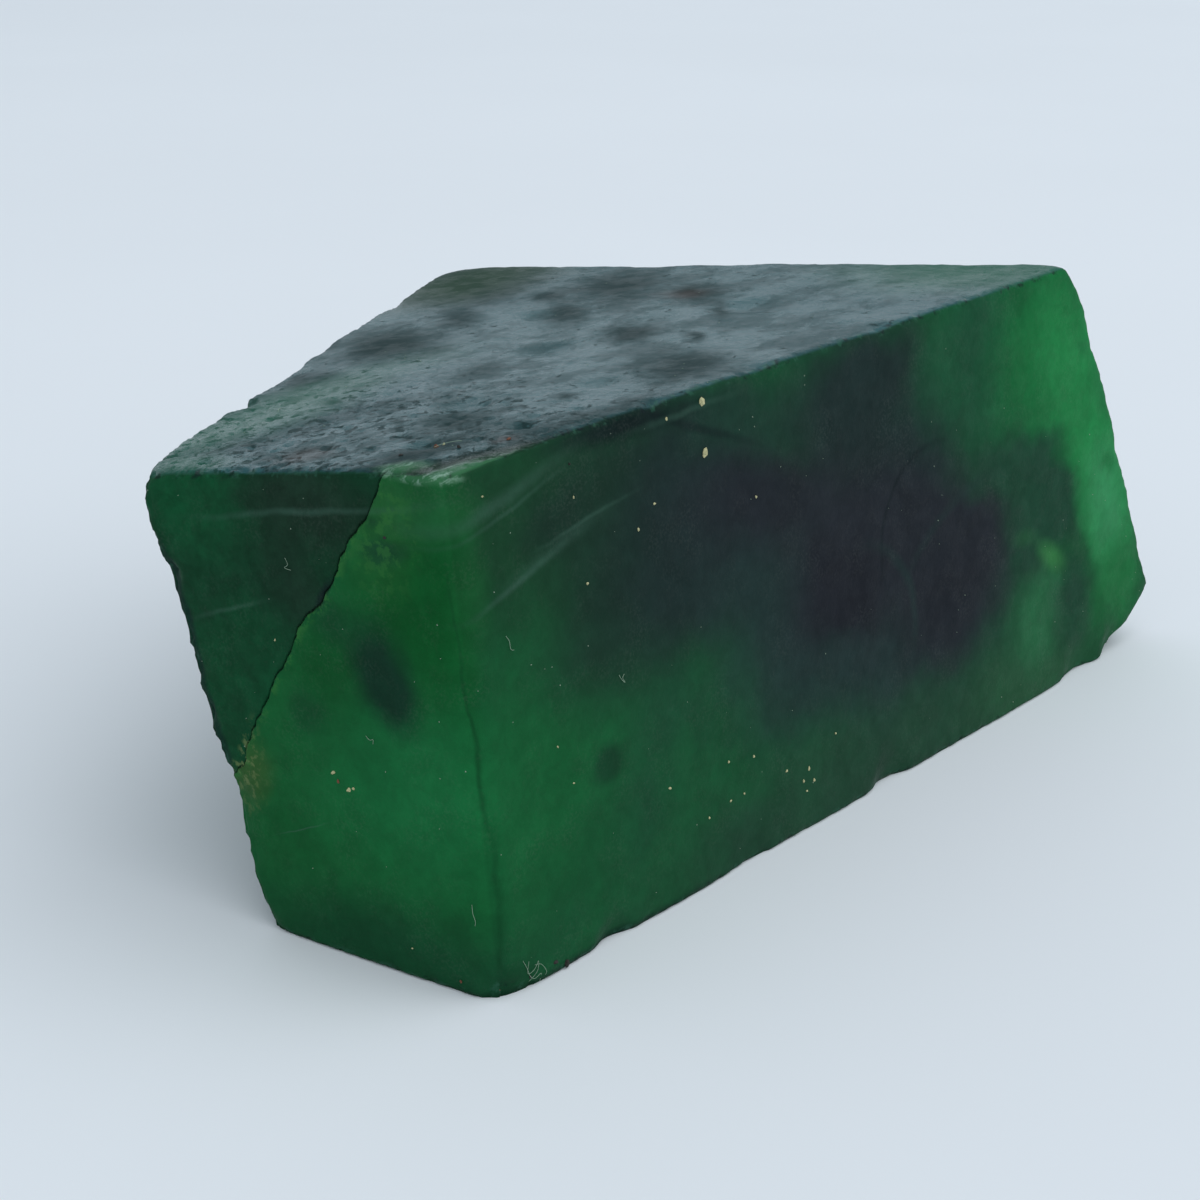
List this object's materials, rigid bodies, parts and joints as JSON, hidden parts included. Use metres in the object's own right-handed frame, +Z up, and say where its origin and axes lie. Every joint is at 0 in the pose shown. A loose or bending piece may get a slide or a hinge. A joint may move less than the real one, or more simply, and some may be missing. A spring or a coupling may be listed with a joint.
{
  "type": "raw emerald",
  "caption": "Rough chunk of cloudy green emerald: a leaning block with sawn flat faces, a jagged crack across its narrow end and worn, chipped edges.",
  "frame": {"origin": "centre of the bounding box, on the plane that the stone rests on", "axes": "+X along the long sawn face towards the broad end, +Y from the long face into the stone, +Z up"},
  "size_m": [0.049, 0.0296, 0.0194],
  "materials": {
    "emerald": "cloudy translucent green beryl with dark clouds, satin sawn faces and a waxy grey sheen on top"
  },
  "bodies": {
    "root": {"raw_emerald": "emerald"}
  },
  "joints": []
}
